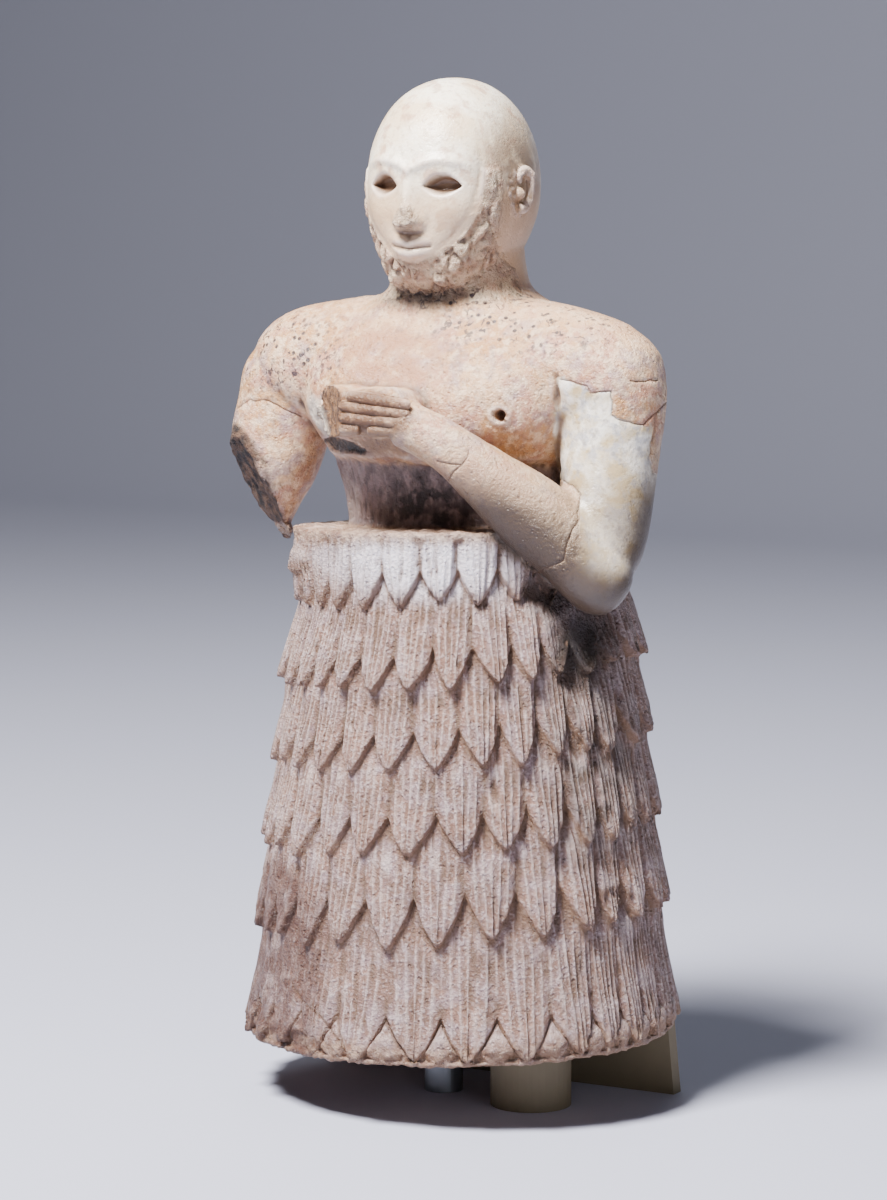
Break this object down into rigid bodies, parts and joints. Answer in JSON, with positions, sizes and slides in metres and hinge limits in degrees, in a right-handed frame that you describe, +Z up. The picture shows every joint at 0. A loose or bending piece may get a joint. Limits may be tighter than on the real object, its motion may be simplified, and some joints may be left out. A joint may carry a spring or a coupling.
{
  "type": "worshipper statuette",
  "caption": "Carved stone votive figure of a bearded worshipper with clasped hands and a tiered tufted skirt, one forearm broken away, held up on low museum supports.",
  "frame": {"origin": "middle of the whole figure's reach, on the surface that the supports stand on", "axes": "+Z up through the figure, -Y the way it faces, +X to its own left"},
  "size_m": [0.2453, 0.2034, 0.5205],
  "materials": {
    "alabaster": "weathered, softly polished on the bare skin, rough in the carved skirt",
    "painted_support": "matt paint",
    "steel_support": "dull"
  },
  "bodies": {
    "root": {"statuette": "alabaster", "front_support_post": "painted_support", "centre_support_post": "steel_support", "rear_support_plate": "painted_support"}
  },
  "joints": []
}
